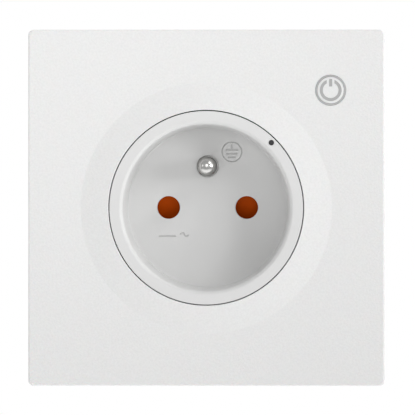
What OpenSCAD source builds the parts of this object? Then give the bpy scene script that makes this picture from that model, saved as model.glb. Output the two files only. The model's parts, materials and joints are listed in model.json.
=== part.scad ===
// Flush-mounted smart wall socket, French style: two shuttered pin holes and a fixed earth pin.
// Millimetres. The front faces -Y, +Z is up and the wall surface is the plane y = 0.
// The origin is where the socket's axis meets the wall.

/* [Faceplate] */
// Width and height of the square faceplate
plate_w = 86; // [82:0.5:90]
// Corner radius of the faceplate
plate_corner_r = 1.3; // [0.5:0.1:5]
// How far the flat front of the faceplate stands off the wall
plate_depth = 10; // [9.5:0.1:12]
// Thickness of the faceplate's front and sides
plate_wall = 2; // [1.6:0.1:2.2]
// Radius where the raised cone round the socket meets the flat front
cone_r = 30.3; // [28:0.1:33]
// Height of the raised cone above the flat front
cone_rise = 1; // [0.5:0.1:2]

/* [Socket well] */
// Radius of the round insert's rim
insert_r = 23.35; // [23:0.05:24]
// Gap between the insert's rim and the faceplate
insert_gap = 0.25; // [0.1:0.05:0.4]
// Radius of the well at its mouth
well_r = 20; // [19.5:0.1:20.2]
// Radius of the well at its floor
well_floor_r = 19.35; // [19:0.05:19.8]
// Depth of the well from the insert's front face to its floor
well_depth = 15; // [14.5:0.1:15.5]
// Distance between the two pin holes, centre to centre
pin_pitch = 19; // [18.8:0.1:19.2]
// Radius of each pin hole
pin_hole_r = 2.75; // [2.5:0.05:3]
// Height of the earth pin above the socket's centre
earth_offset = 10; // [9.8:0.1:10.2]
// Radius of the earth pin
earth_r = 2.4; // [2.3:0.05:2.45]
// How far the earth pin stands out of the well's floor
earth_len = 14; // [12:0.5:14]

/* [Button] */
// Distance of the button from the centre line, to the right
button_x = 30; // [29:0.1:31]
// Height of the button above the centre
button_z = 28.35; // [27.5:0.05:29]
// Outside radius of the light ring round the button
ring_r = 3.7; // [3.5:0.05:3.8]
// Radius of the button cap
cap_r = 3.2; // [2.9:0.05:3.25]

/* [Mounting frame] */
// Width and height of the pressed steel frame
frame_w = 71; // [70:0.5:72]
// Thickness of the frame's sheet
frame_t = 1.2; // [1:0.1:1.5]
// Distance between the centres of two opposite box-screw slots
slot_pitch = 60; // [59:0.5:61]
// Width of each box-screw slot
slot_w = 3.5; // [3:0.1:4]
// End-to-end length of each box-screw slot
slot_len = 8; // [6:0.5:8]

/* [Rear body] */
// Width and height of the rear housing
body_w = 50; // [50:0.5:51]
// Radius that rounds off the rear housing's corners
body_r = 28.5; // [28:0.1:29]
// Depth of the rear housing behind the wall surface
body_depth = 33.5; // [33:0.5:36]
// Wall thickness of the rear housing
body_wall = 1.8; // [1.5:0.1:2]
// Radius of each wire entry
wire_r = 1.9; // [1.6:0.1:2]

/* [Moving parts] */
// Angle of the claw ramps to the screw axis, in degrees
claw_angle = 30; // [25:1:32]
// Distance of each claw screw from the centre line
claw_x = 25.9; // [25.8:0.1:26.2]
// Height of the claw screws, below the centre
claw_z = -11; // [-11.5:0.1:-10.5]
// Distance between two terminal screws
terminal_pitch = 11.5; // [11:0.1:11.5]
// Number of turns of the shutter's return spring
spring_turns = 10; // [6:1:12]

/* [Hidden] */
$fn = 96;
y_front = -plate_depth;
y_top = y_front - cone_rise;
hole_r = insert_r + insert_gap;
y_floor = y_top + well_depth;
y_back = y_floor + 2;
cup_r = 21.4;
light_r = 22.2;
board_y0 = -5;
board_y1 = -4;
post_xz = [[-31, 16.5], [31, 16.5], [-31, 31.2], [20, 31.2]];
frame_screw_xz = [[18.6, 18.6], [-18.6, 18.6], [18.6, -18.6], [-18.6, -18.6]];
term_z = -17;
y_contact = y_floor + 19.2;
y_power = 28.6;
in_w = body_w - 2 * body_wall;
in_r = body_r - body_wall;
claw_slope = tan(claw_angle);
white = [0.93, 0.93, 0.92];
steel = [0.72, 0.73, 0.74];
brass = [0.85, 0.68, 0.35];

// Puts children at a point of the XZ plane
module at(p) {
  translate([p[0], 0, p[1]])
    children();
}

// A cylinder along Y from y0 to y1
module ycyl(r, y0, y1) {
  translate([0, y0, 0])
    rotate([-90, 0, 0])
      cylinder(r = r, h = y1 - y0);
}

// A cone along Y, radius r0 at y0 and r1 at y1
module ycone(r0, r1, y0, y1) {
  translate([0, y0, 0])
    rotate([-90, 0, 0])
      cylinder(r1 = r0, r2 = r1, h = y1 - y0);
}

// A cylinder along Z from z0 to z1
module zcyl(r, z0, z1) {
  translate([0, 0, z0])
    cylinder(r = r, h = z1 - z0);
}

// A box given by its low and high X, Y and Z
module box(x, y, z) {
  translate([x[0], y[0], z[0]])
    cube([x[1] - x[0], y[1] - y[0], z[1] - z[0]]);
}

// A profile of [radius, y] points turned about the Y axis
module turned(points) {
  rotate([-90, 0, 0])
    rotate_extrude()
      polygon(points);
}

// An XZ outline drawn out along Y from y0 to y1
module along_y(y0, y1) {
  translate([0, y1, 0])
    rotate([90, 0, 0])
      linear_extrude(y1 - y0)
        children();
}

// A YZ outline drawn out along X from x0 to x1
module along_x(x0, x1) {
  translate([x0, 0, 0])
    rotate([90, 0, 90])
      linear_extrude(x1 - x0)
        children();
}

// An XY outline drawn out along Z from z0 to z1
module along_z(z0, z1) {
  translate([0, 0, z0])
    linear_extrude(z1 - z0)
      children();
}

// A flat square of side w with corners of radius r
module rounded(w, r) {
  c = w / 2 - r;
  square([w - 2 * r, w], center = true);
  square([w, w - 2 * r], center = true);
  for (x = [-c, c]) {
    for (z = [-c, c]) {
      translate([x, z])
        circle(r = r);
    }
  }
}

// The rear body's outline: a square with its corners on a circle
module body_outline(w, r) {
  intersection() {
    square([w, w], center = true);
    circle(r = r);
  }
}

// A slot of width w and length l along X, cut along Y
module slot_cut(w, l, y0, y1) {
  s = (l - w) / 2;
  box([-s, s], [y0, y1], [-w / 2, w / 2]);
  at([-s, 0])
    ycyl(w / 2, y0, y1);
  at([s, 0])
    ycyl(w / 2, y0, y1);
}

// A cross recess in a screw head that faces -Y at height y
module cross_cut(y, arm) {
  box([-arm, arm], [y - 0.1, y + 0.8], [-0.28, 0.28]);
  box([-0.28, 0.28], [y - 0.1, y + 0.8], [-arm, arm]);
}

module snap_hook() {
  box([36, 37.4], [y_front + plate_wall - 0.2, -1.6], [-4.5, 4.5]);
  along_z(-4, 4)
    polygon([[36.1, -5.4], [34.1, -5], [34.1, -4.3], [36.1, -3.6]]);
}

module faceplate() {
  color(white)
    difference() {
      union() {
        difference() {
          along_y(y_front, 0)
            rounded(plate_w, plate_corner_r);
          along_y(y_front + plate_wall, 1)
            square([plate_w - 2 * plate_wall, plate_w - 2 * plate_wall], center = true);
        }
        turned([[hole_r - 1, y_top], [hole_r, y_top], [cone_r, y_front], [cone_r, y_front + 0.5],
                [hole_r - 1, y_front + 0.5]]);
        ycyl(hole_r + 1.4, y_front + 0.5, y_front + plate_wall + 0.4);
        for (p = post_xz) {
          at(p)
            ycyl(2.2, y_front + 1, board_y0 - 0.02);
        }
        for (a = [0, 90, 180, 270]) {
          rotate([0, a, 0])
            snap_hook();
        }
        for (a = [35, 62, 118, 145]) {
          rotate([0, a, 0])
            box([hole_r + 1, 39], [y_front + 1, y_front + plate_wall + 1.8], [-0.5, 0.5]);
        }
      }
      ycyl(hole_r, y_top - 1, y_front + 6);
      at([button_x, button_z])
        ycyl(ring_r + 0.08, y_front - 1, y_front + plate_wall + 1);
      for (p = post_xz) {
        at(p)
          ycyl(0.9, y_front + 2.4, board_y0 + 1);
      }
    }
}

// The earth sign cut into the well's floor: a circle round a stem and three bars
module earth_sign_cut() {
  y0 = y_floor - 0.5;
  y1 = y_floor + 0.22;
  at([5.9, 13.5]) {
    difference() {
      ycyl(2.5, y0, y1);
      ycyl(2.25, y0 - 1, y1 + 1);
    }
    box([-0.22, 0.22], [y0, y1], [0.5, 1.85]);
    box([-1.5, 1.5], [y0, y1], [0.32, 0.72]);
    box([-1.35, 1.35], [y0, y1], [-0.66, -0.26]);
    box([-0.9, 0.9], [y0, y1], [-1.5, -1.14]);
  }
}

// A plain moulded bar and wave mark, without lettering
module mould_mark_cut() {
  y0 = y_floor - 0.5;
  y1 = y_floor + 0.2;
  at([-9.75, -6.98]) {
    box([-2.05, 2.05], [y0, y1], [-0.17, 0.17]);
    at([3.65, 0.38])
      intersection() {
        difference() {
          ycyl(0.61, y0, y1);
          ycyl(0.29, y0 - 1, y1 + 1);
        }
        box([-1, 1], [y0 - 1, y1 + 1], [0, 1]);
      }
    at([4.55, 0.38])
      intersection() {
        difference() {
          ycyl(0.61, y0, y1);
          ycyl(0.29, y0 - 1, y1 + 1);
        }
        box([-1, 1], [y0 - 1, y1 + 1], [-1, 0]);
      }
  }
}

module socket_insert() {
  color([0.91, 0.91, 0.9])
    difference() {
      union() {
        turned([[0, y_floor], [well_floor_r, y_floor], [well_r, y_top + 1], [well_r + 0.13, y_top + 0.5],
                [well_r + 0.5, y_top + 0.13], [well_r + 1, y_top], [insert_r - 0.15, y_top],
                [insert_r, y_top + 0.15], [insert_r, y_top + 1.5], [cup_r, y_top + 1.5],
                [cup_r, y_back], [0, y_back]]);
        for (a = [0, 90, 180, 270]) {
          rotate([0, a, 0])
            box([cup_r - 0.5, 22.7], [2.1, 3.6], [-3, 3]);
        }
        for (x = [-9.5, 9.5]) {
          at([x, -14])
            ycyl(2.3, y_back - 0.5, 9.75);
        }
      }
      for (x = [-pin_pitch / 2, pin_pitch / 2]) {
        at([x, 0])
          ycyl(pin_hole_r, y_floor - 1, y_back + 1);
      }
      for (x = [-9.5, 9.5]) {
        at([x, -14])
          ycyl(0.9, y_back + 0.4, 10);
      }
      at([0, earth_offset])
        ycyl(2.65, y_floor - 1, y_back + 1);
      rotate([0, -45, 0])
        at([light_r, 0])
          ycyl(0.66, y_top - 1, y_top + 3);
      earth_sign_cut();
      mould_mark_cut();
    }
}

module status_light_pipe() {
  color([0.2, 0.2, 0.22])
    rotate([0, -45, 0]) {
      at([light_r, 0])
        ycyl(0.63, y_top + 0.12, -7.3);
      at([light_r + 0.75, 0])
        ycyl(1.2, -7.4, board_y0 - 0.7);
    }
}

module button_light_ring() {
  color([0.72, 0.72, 0.72])
    at([button_x, button_z])
      turned([[ring_r - 0.42, y_front], [ring_r, y_front], [ring_r, y_front + plate_wall + 0.02],
              [ring_r + 1, y_front + plate_wall + 0.02], [ring_r + 1, y_front + plate_wall + 0.45],
              [ring_r - 0.42, y_front + plate_wall + 0.45]]);
}

// The power sign: an open ring with a bar through the gap, grown by g
module power_sign(g) {
  difference() {
    circle(r = 2.61 + g);
    circle(r = 1.91 - g);
    translate([-0.95 + g, 0])
      square([1.9 - 2 * g, 4]);
  }
  translate([-0.36 - g, 0.92 - g])
    square([0.72 + 2 * g, 1.76 + 2 * g]);
}

module button_cap() {
  color(white)
    at([button_x, button_z])
      difference() {
        turned([[0, y_front], [cap_r, y_front], [cap_r, y_front + 2.55], [ring_r + 0.2, y_front + 2.55],
                [ring_r + 0.2, y_front + 3], [0, y_front + 3]]);
        along_y(y_front - 1, y_front + 0.32)
          power_sign(0.02);
      }
}

module button_icon() {
  color([0.68, 0.68, 0.68])
    at([button_x, button_z])
      along_y(y_front, y_front + 0.3)
        power_sign(0);
}

module button_switch() {
  color([0.15, 0.15, 0.16])
    at([button_x, button_z])
      difference() {
        box([-2.6, 2.6], [board_y0 - 1.5, board_y0 - 0.02], [-2.6, 2.6]);
        ycyl(1.1, board_y0 - 2, board_y0 - 0.4);
      }
}

module switch_plunger() {
  color([0.85, 0.85, 0.8])
    at([button_x, button_z])
      ycyl(1, y_front + 3.02, board_y0 - 0.95);
}

module control_board() {
  color([0.05, 0.3, 0.16])
    difference() {
      box([-33.6, 33.6], [board_y0, board_y1], [14, 33.6]);
      ycyl(22, board_y0 - 1, board_y1 + 1);
      box([-5, 5], [board_y0 - 1, board_y1 + 1], [25, 40]);
      for (p = post_xz) {
        at(p)
          ycyl(1.1, board_y0 - 1, board_y1 + 1);
      }
    }
}

module wifi_module() {
  color([0.75, 0.76, 0.78]) {
    box([-27.6, -11], [board_y0 - 0.8, board_y0 - 0.02], [19.8, 33]);
    box([-27, -16], [board_y0 - 2.4, board_y0 - 0.75], [20.4, 32.4]);
  }
}

module control_chips() {
  color([0.1, 0.1, 0.11]) {
    box([20.8, 24.8], [board_y0 - 1, board_y0 - 0.02], [20.5, 24.5]);
    box([25.2, 27.6], [board_y0 - 1.1, board_y0 - 0.02], [17, 19.6]);
    box([9, 12.2], [board_y0 - 0.9, board_y0 - 0.02], [27, 29]);
    box([-31.5, -29.5], [board_y0 - 0.8, board_y0 - 0.02], [21, 24.2]);
    box([-24, -19], [board_y1 + 0.02, board_y1 + 1.2], [24, 29]);
  }
}

module indicator_leds() {
  color([0.95, 0.95, 0.8]) {
    rotate([0, -45, 0])
      at([light_r + 0.9, 0])
        box([-0.8, 0.8], [board_y0 - 0.65, board_y0 - 0.02], [-0.8, 0.8]);
    for (z = [button_z - 3.65, button_z + 3.65]) {
      at([button_x, z])
        box([-0.8, 0.8], [board_y0 - 0.65, board_y0 - 0.02], [-0.6, 0.6]);
    }
  }
}

module control_connector() {
  color([0.92, 0.9, 0.85])
    box([6.5, 15.5], [board_y1 + 0.02, board_y1 + 1.8], [22.2, 25]);
}

module board_screws() {
  color(steel)
    for (p = post_xz) {
      at(p)
        difference() {
          turned([[0, -7], [0.85, -6.8], [0.85, board_y1 + 0.02], [1.9, board_y1 + 0.02],
                  [1.7, board_y1 + 1.1], [0, board_y1 + 1.2]]);
          box([-1.1, 1.1], [board_y1 + 0.5, 0], [-0.22, 0.22]);
          box([-0.22, 0.22], [board_y1 + 0.5, 0], [-1.1, 1.1]);
        }
    }
}

module ribbon_cable() {
  color([0.85, 0.85, 0.82])
    along_x(8, 14)
      polygon([[-3.3, 22.15], [-3.3, 21.2], [27.2, 21.2], [27.2, 21.05], [27.6, 21.05], [27.6, 21.6],
               [-2.9, 21.6], [-2.9, 22.15]]);
}

module frame_slot(y0, y1) {
  slot_cut(slot_w, slot_len, y0, y1);
}

module mounting_frame() {
  f = frame_w / 2;
  color(steel)
    difference() {
      union() {
        along_y(-frame_t, 0)
          rounded(frame_w, 3);
        difference() {
          along_y(-3.4, -frame_t / 2)
            rounded(frame_w, 3);
          along_y(-5, 0)
            rounded(frame_w - 2.4, 1.8);
        }
        for (a = [0, 90, 180, 270]) {
          rotate([0, a, 0])
            box([f - 1.2, f], [-6.5, -1], [-8, 8]);
        }
      }
      ycyl(22.6, -10, 10);
      box([7, 15], [-10, 10], [10, 22.6]);
      for (x = [-slot_pitch / 2, slot_pitch / 2]) {
        at([x, 0])
          frame_slot(-2, 1);
        rotate([0, 90, 0])
          at([x, 0])
            frame_slot(-2, 1);
      }
      for (x = [-claw_x, claw_x]) {
        at([x, claw_z])
          ycyl(1.7, -2, 1);
      }
      for (p = frame_screw_xz) {
        at(p) {
          ycone(2.9, 1.7, -frame_t - 0.001, 0.001);
          ycyl(1.7, -2, 1);
        }
      }
      for (a = [0, 90, 180, 270]) {
        rotate([0, a, 0])
          box([f - 2, f + 1], [-5.7, -3.3], [-4.6, 4.6]);
      }
    }
}

module frame_screws() {
  color(steel)
    for (p = frame_screw_xz) {
      at(p)
        difference() {
          turned([[0, -frame_t], [2.75, -frame_t], [1.45, 0], [1.45, 11.6], [0.8, 12.4], [0, 12.4]]);
          cross_cut(-frame_t, 1.6);
        }
    }
}

module claw_recesses(y0, y1, grow) {
  for (s = [-1, 1]) {
    box([s > 0 ? 22.6 - grow : -30, s > 0 ? 30 : -22.6 + grow], [y0, y1],
        [claw_z - 5 - grow, claw_z + 5 + grow]);
  }
}

module chassis_plate() {
  color([0.25, 0.25, 0.27])
    difference() {
      along_y(0.02, 1.98)
        body_outline(body_w, body_r);
      ycyl(cup_r + 0.5, -1, 3);
      box([7.2, 14.8], [-1, 3], [10, 22.4]);
      claw_recesses(-1, 3, 0);
      for (a = [28, 118, 208, 298]) {
        rotate([0, a, 0])
          box([20, 22.9], [-1, 3], [-2, 2]);
      }
      for (p = frame_screw_xz) {
        at(p)
          ycyl(1.7, -1, 3);
      }
    }
}

module claw_ramps() {
  for (s = [0, 1]) {
    mirror([s, 0, 0])
      for (z = [claw_z - 5, claw_z + 3.1]) {
        along_z(z, z + 1.9)
          polygon([[22.2, 22.92], [26.2, 22.92 - 4 / claw_slope], [26.2, 13], [22.2, 13]]);
      }
  }
}

// Cuts in the housing's rear face: a blank rating panel round three bars and a ring, and an earth sign
module rear_marks() {
  y0 = body_depth - 0.3;
  difference() {
    box([-13, 13], [y0, body_depth + 1], [-8.6, 1.4]);
    for (z = [-6.9, -4.5, -2.1]) {
      box([-11.4, z == -4.5 ? 6 : 1.5], [y0 - 1, body_depth + 1], [z - 0.35, z + 0.35]);
    }
    at([8.6, -5.9])
      difference() {
        ycyl(1.7, y0 - 1, body_depth + 1);
        ycyl(1.2, y0 - 1, body_depth + 2);
      }
  }
  at([0, -11.4]) {
    box([-0.15, 0.15], [y0, body_depth + 1], [0, 1.3]);
    box([-1.3, 1.3], [y0, body_depth + 1], [-0.15, 0.15]);
    box([-0.85, 0.85], [y0, body_depth + 1], [-0.75, -0.45]);
    box([-0.4, 0.4], [y0, body_depth + 1], [-1.35, -1.05]);
  }
}

module rear_housing() {
  color([0.25, 0.25, 0.27])
    difference() {
      union() {
        difference() {
          union() {
            along_y(2, body_depth - 0.6)
              body_outline(body_w, body_r);
            along_y(2, body_depth)
              body_outline(body_w - 1.2, body_r - 0.6);
          }
          claw_recesses(1, 28.5, 0);
          difference() {
            along_y(1, body_depth - body_wall)
              body_outline(in_w, in_r);
            claw_recesses(0, 30, 1.4);
            for (p = frame_screw_xz) {
              at(p)
                ycyl(2.7, 1.5, 15);
            }
          }
        }
        for (x = [-terminal_pitch / 2, terminal_pitch / 2]) {
          box([x - 0.5, x + 0.5], [14, body_depth - 1], [-22.1, -12.8]);
        }
        claw_ramps();
      }
      for (p = frame_screw_xz) {
        at(p)
          ycyl(1.5, 1, 13);
      }
      for (x = [-terminal_pitch, 0, terminal_pitch]) {
        at([x, term_z])
          ycyl(3, body_depth - body_wall - 0.4, body_depth + 1);
      }
      box([-15, 15], [15.2, 26.2], [-body_w / 2 - 1, -22]);
      for (x = [-1, 1]) {
        for (z = [-1.5, 4.5, 10.5]) {
          box([x * body_w / 2 - 0.35, x * body_w / 2 + 0.35], [9, body_depth - 4], [z - 0.5, z + 0.5]);
        }
      }
      rear_marks();
      for (i = [-3:1:3]) {
        box([i * 4 - 0.7, i * 4 + 0.7], [body_depth - body_wall - 0.4, body_depth + 1], [4.5, 14.5]);
      }
    }
}

// A piece of the housing's bottom wall that snaps in and guides the three wires
module wire_entry_plate() {
  color([0.32, 0.32, 0.34])
    difference() {
      union() {
        intersection() {
          along_y(15.25, 26.15)
            difference() {
              body_outline(body_w, body_r);
              body_outline(in_w, in_r);
            }
          box([-14.95, 14.95], [10, 30], [-30, -20]);
        }
        box([-13, 13], [14.4, 27], [-23.18, -22.4]);
        box([-13, 13], [15.5, 25.9], [-23.6, -22.6]);
      }
      for (x = [-terminal_pitch, 0, terminal_pitch]) {
        translate([x, 20.7, 0]) {
          zcyl(wire_r, -body_w / 2 - 1, -body_w / 2 + body_wall + 0.5);
          zcyl(wire_r + 0.4, -body_w / 2 + body_wall, -20);
        }
      }
    }
}

module earth_pin() {
  y_tip = y_floor - earth_len;
  color([0.82, 0.8, 0.74])
    at([0, earth_offset])
      turned([[0, y_tip], [0.7, y_tip + 0.05], [1.4, y_tip + 0.35], [1.9, y_tip + 0.8], [2.2, y_tip + 1.4],
              [earth_r, y_tip + 2.4], [earth_r, y_floor - 0.2], [2.6, y_floor - 0.2], [2.6, y_back + 0.05],
              [3, y_back + 0.05], [3, 7.3], [1.6, 7.3], [1.6, 12.02], [2.6, 12.02], [2.3, 12.8], [0, 12.9]]);
}

module earth_strap() {
  color(brass)
    difference() {
      union() {
        at([0, earth_offset])
          ycyl(3.6, 11.2, 12);
        box([-2.5, 2.5], [11.2, 12], [-12, earth_offset]);
        box([-2.5, 2.5], [11.2, y_contact + 1.2], [-12, -11.2]);
        box([-3, 3], [y_contact, y_contact + 1.2], [-21, -11.2]);
      }
      at([0, earth_offset])
        ycyl(1.65, 10, 13);
    }
}

module shutter() {
  color([0.62, 0.26, 0.06])
    difference() {
      union() {
        for (x = [-13, 6.2]) {
          along_x(x, x + 6.8)
            polygon([[6.2, 3.4], [6.2, 3], [8.5, -3.4], [9.6, -3.4], [9.6, 3.4]]);
        }
        box([-6.3, 6.3], [7.4, 9.6], [-9, 3.4]);
        box([-3.2, 3.2], [7.4, 9.6], [-20, -8]);
      }
      box([-3.2, 3.2], [7, 10], [0.6, 4]);
      box([-1.9, 1.9], [7, 10], [-18.6, -4.6]);
    }
}

// Rings tilted one way and then the other, each touching the next
module shutter_spring() {
  z0 = -18.4;
  z1 = -5.65;
  lead = (z1 - z0 - 0.4) / spring_turns;
  tilt = asin(lead / 2 / 1.28);
  color(steel)
    translate([0, 8.15, z0 + 0.2 + lead / 2])
      for (i = [0:1:spring_turns - 1]) {
        translate([0, 0, i * lead])
          rotate([i % 2 == 0 ? tilt : -tilt, 0, 0])
            rotate_extrude()
              translate([1.28, 0])
                circle(r = 0.18, $fn = 24);
      }
}

module shutter_cover() {
  color([0.88, 0.88, 0.86])
    difference() {
      union() {
        box([-15.2, 15.2], [y_back + 0.03, 11], [-10.4, 12]);
        box([-5, 5], [y_back + 0.03, 11], [-21, -10]);
        for (x = [-9.5, 9.5]) {
          at([x, -14])
            ycyl(2.6, 9.78, 11);
          box([min(x, 0), max(x, 0)], [9.8, 11], [-15.4, -9]);
        }
      }
      difference() {
        union() {
          box([-14.2, 14.2], [5, 9.8], [-9.4, 11]);
          box([-4, 4], [5, 9.8], [-20.3, -9]);
        }
        box([-1.5, 1.5], [7.2, 10], [-5.6, -4.9]);
      }
      for (x = [-pin_pitch / 2, pin_pitch / 2]) {
        at([x, 0])
          ycyl(3.2, 9, 12);
      }
      at([0, earth_offset]) {
        ycyl(1.9, 7, 12);
        ycyl(3.2, y_back - 1, 7.5);
      }
      for (x = [-9.5, 9.5]) {
        at([x, -14])
          ycyl(1.1, 9, 12);
      }
    }
}

module cover_screws() {
  color(steel)
    for (x = [-9.5, 9.5]) {
      at([x, -14])
        difference() {
          turned([[0, 7], [0.85, 7.2], [0.85, 11.02], [2, 11.02], [1.8, 12.1], [0, 12.2]]);
          box([-1.2, 1.2], [11.6, 13], [-0.22, 0.22]);
          box([-0.22, 0.22], [11.6, 13], [-1.2, 1.2]);
        }
    }
}

module contact_carrier() {
  color([0.9, 0.89, 0.85])
    difference() {
      union() {
        box([-15.2, 15.2], [12.4, y_contact - 0.3], [-9.6, 6.6]);
        for (x = [-14.1, 14.1]) {
          for (z = [-4.9, 5.4]) {
            at([x, z])
              ycyl(1.1, y_contact - 1, y_power - 0.02);
          }
        }
      }
      for (x = [-pin_pitch / 2, pin_pitch / 2]) {
        box([x - 4.1, x + 4.1], [11, y_contact + 1], [-4, 4]);
      }
      box([-3.6, 3.6], [11, y_contact + 1], [-7.6, 4.6]);
    }
}

// Two sprung leaves that grip a plug pin on the axis x = 0
module contact_leaves() {
  for (s = [0, 1]) {
    mirror([s, 0, 0])
      along_z(-3, 3)
        polygon([[2.9, y_contact + 0.3], [2.9, 18], [2.42, 15], [3.2, 12.8], [3.75, 12.95],
                 [3.05, 15.1], [3.5, 18], [3.5, y_contact + 0.3]]);
  }
}

module live_contact() {
  color(brass)
    translate([pin_pitch / 2, 0, 0]) {
      contact_leaves();
      box([-3.5, 3.5], [y_contact, y_contact + 1.2], [-3.5, 3.5]);
      box([-1.5, 1.5], [y_contact + 1, y_power + 2], [2.7, 3.5]);
    }
}

module neutral_contact() {
  t = terminal_pitch;
  color(brass) {
    translate([-pin_pitch / 2, 0, 0])
      contact_leaves();
    along_y(y_contact, y_contact + 1.2)
      polygon([[-12.8, 3.5], [-6, 3.5], [-6, -3.5], [-8.4, -6.6], [-t + 3, -11.4], [-t + 3, -21], [-t - 3, -21],
               [-t - 3, -11.4], [-12.2, -6.6], [-12.2, -3.5], [-12.8, -3.5]]);
  }
}

module live_busbar() {
  t = terminal_pitch;
  color(brass) {
    box([t - 3, t + 3], [y_contact, y_contact + 1.2], [-21, -10.2]);
    box([t - 1.5, t + 1.5], [y_contact, y_power + 2], [-11, -10.2]);
  }
}

module power_board() {
  t = terminal_pitch;
  color([0.05, 0.3, 0.16])
    difference() {
      along_y(y_power, y_power + 1.4)
        intersection() {
          translate([-20.6, -11.6])
            square([41.2, 33.1]);
          circle(r = 26.2);
        }
      box([t - 1.7, t + 1.7], [y_power - 1, y_power + 3], [-11.2, -10]);
      at([pin_pitch / 2, 0])
        box([-1.7, 1.7], [y_power - 1, y_power + 3], [2.5, 3.7]);
    }
}

module relay() {
  color([0.12, 0.14, 0.2])
    difference() {
      box([-11, 6], [y_power - 15.3, y_power - 0.02], [9.6, 20]);
      box([-10.2, 5.2], [y_power - 15.4, y_power - 15.1], [10.4, 19.2]);
    }
}

module capacitors() {
  color([0.1, 0.12, 0.35]) {
    at([-15.8, 14.4])
      turned([[0, y_power - 11.5], [3.6, y_power - 11.5], [4, y_power - 11.1], [4, y_power - 1.6],
              [3.8, y_power - 1.3], [4, y_power - 1], [4, y_power - 0.02], [0, y_power - 0.02]]);
    at([-18.1, 4.6])
      turned([[0, y_power - 9], [2.2, y_power - 9], [2.5, y_power - 8.7], [2.5, y_power - 1.4],
              [2.35, y_power - 1.1], [2.5, y_power - 0.8], [2.5, y_power - 0.02], [0, y_power - 0.02]]);
  }
}

module film_capacitor() {
  color([0.85, 0.7, 0.15])
    box([16, 20.4], [y_power - 10, y_power - 0.02], [-3.6, 7.2]);
}

module power_transformer() {
  color([0.16, 0.16, 0.17]) {
    box([8, 18], [y_power - 12.5, y_power - 10], [8.4, 18.6]);
    box([8, 18], [y_power - 2.5, y_power - 0.02], [8.4, 18.6]);
    box([8, 18], [y_power - 11, y_power - 2], [11.4, 15.6]);
    at([13, 13.5])
      ycyl(4.6, y_power - 11, y_power - 2);
  }
}

module fuse() {
  color([0.8, 0.8, 0.78])
    translate([-18.1, y_power - 3.4, 0]) {
      zcyl(2.2, -10, -8);
      zcyl(1.9, -9, -1);
      zcyl(2.2, -2, 0);
      box([-0.4, 0.4], [1.5, 3.38], [-9.6, -8.8]);
      box([-0.4, 0.4], [1.5, 3.38], [-1.2, -0.4]);
    }
}

module power_connector() {
  color([0.92, 0.9, 0.85])
    box([7, 14.6], [y_power - 2, y_power - 0.02], [19.2, 21]);
}

module terminal_screw(x) {
  color(steel)
    at([x, term_z])
      difference() {
        turned([[0, y_contact + 1.25], [1.2, y_contact + 1.25], [1.65, y_contact + 1.7], [1.65, 31.5],
                [2.7, 31.5], [2.7, 32.8], [2.4, 33.1], [0, 33.1]]);
        box([-2.8, 2.8], [32.2, 34], [-0.4, 0.4]);
      }
}

module terminal_screw_left() {
  terminal_screw(-terminal_pitch);
}

module terminal_screw_middle() {
  terminal_screw(0);
}

module terminal_screw_right() {
  terminal_screw(terminal_pitch);
}

module clamp_cage(x) {
  color([0.78, 0.77, 0.72])
    at([x, term_z])
      difference() {
        box([-4.3, 4.3], [17, 28.4], [-3.5, 3.5]);
        box([-3.3, 3.3], [18.2, 27], [-4, 4]);
        ycyl(1.72, 26, 29);
      }
}

module clamp_cage_left() {
  clamp_cage(-terminal_pitch);
}

module clamp_cage_middle() {
  clamp_cage(0);
}

module clamp_cage_right() {
  clamp_cage(terminal_pitch);
}

module claw_screw() {
  color(steel)
    at([claw_x, claw_z])
      difference() {
        turned([[0, -3.5], [2, -3.5], [2.75, -2.9], [2.75, -1.25], [1.45, -1.25], [1.45, 0.1], [2.3, 0.1],
                [2.3, 0.8], [1.45, 0.8], [1.45, 26.4], [1, 27], [0, 27]]);
        cross_cut(-3.5, 1.7);
      }
}

module claw_nut() {
  color([0.78, 0.77, 0.72])
    at([claw_x, claw_z])
      difference() {
        box([-2.75, 2.75], [23.45, 25.85], [-2.75, 2.75]);
        ycyl(1.52, 23, 27);
      }
}

module claw() {
  x0 = claw_x - 3;
  x1 = claw_x + 2.7;
  reach = 6.6 * claw_slope;
  color([0.7, 0.71, 0.72])
    difference() {
      union() {
        along_z(claw_z - 4.7, claw_z + 4.7)
          polygon([[x0, 23.4], [x0, 22], [x0 + reach, 15.4], [x1 + 0.1, 15.4], [x1 + 0.6, 16.4], [x1, 17.2],
                   [x1 + 0.6, 18.2], [x1, 19], [x1 + 0.6, 20], [x1, 20.8], [x1, 23.4]]);
        box([x0, x1], [23.3, 25.2], [claw_z - 4.7, claw_z - 3.05]);
        box([x0, x1], [23.3, 25.2], [claw_z + 3.05, claw_z + 4.7]);
      }
      box([x0 - 1, claw_x + 1.7], [15, 24], [claw_z - 1.7, claw_z + 1.7]);
    }
}

module claw_screw_left() {
  mirror([1, 0, 0])
    claw_screw();
}

module claw_screw_right() {
  claw_screw();
}

module claw_nut_left() {
  mirror([1, 0, 0])
    claw_nut();
}

module claw_nut_right() {
  claw_nut();
}

module claw_left() {
  mirror([1, 0, 0])
    claw();
}

module claw_right() {
  claw();
}

faceplate();
socket_insert();
status_light_pipe();
button_light_ring();
button_cap();
button_icon();
button_switch();
switch_plunger();
control_board();
wifi_module();
control_chips();
indicator_leds();
control_connector();
board_screws();
ribbon_cable();
mounting_frame();
frame_screws();
chassis_plate();
rear_housing();
wire_entry_plate();
earth_pin();
earth_strap();
shutter();
shutter_spring();
shutter_cover();
cover_screws();
contact_carrier();
live_contact();
neutral_contact();
live_busbar();
power_board();
relay();
capacitors();
film_capacitor();
power_transformer();
fuse();
power_connector();
terminal_screw_left();
terminal_screw_middle();
terminal_screw_right();
clamp_cage_left();
clamp_cage_middle();
clamp_cage_right();
claw_screw_left();
claw_screw_right();
claw_nut_left();
claw_nut_right();
claw_left();
claw_right();
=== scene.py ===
import json
import math

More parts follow.
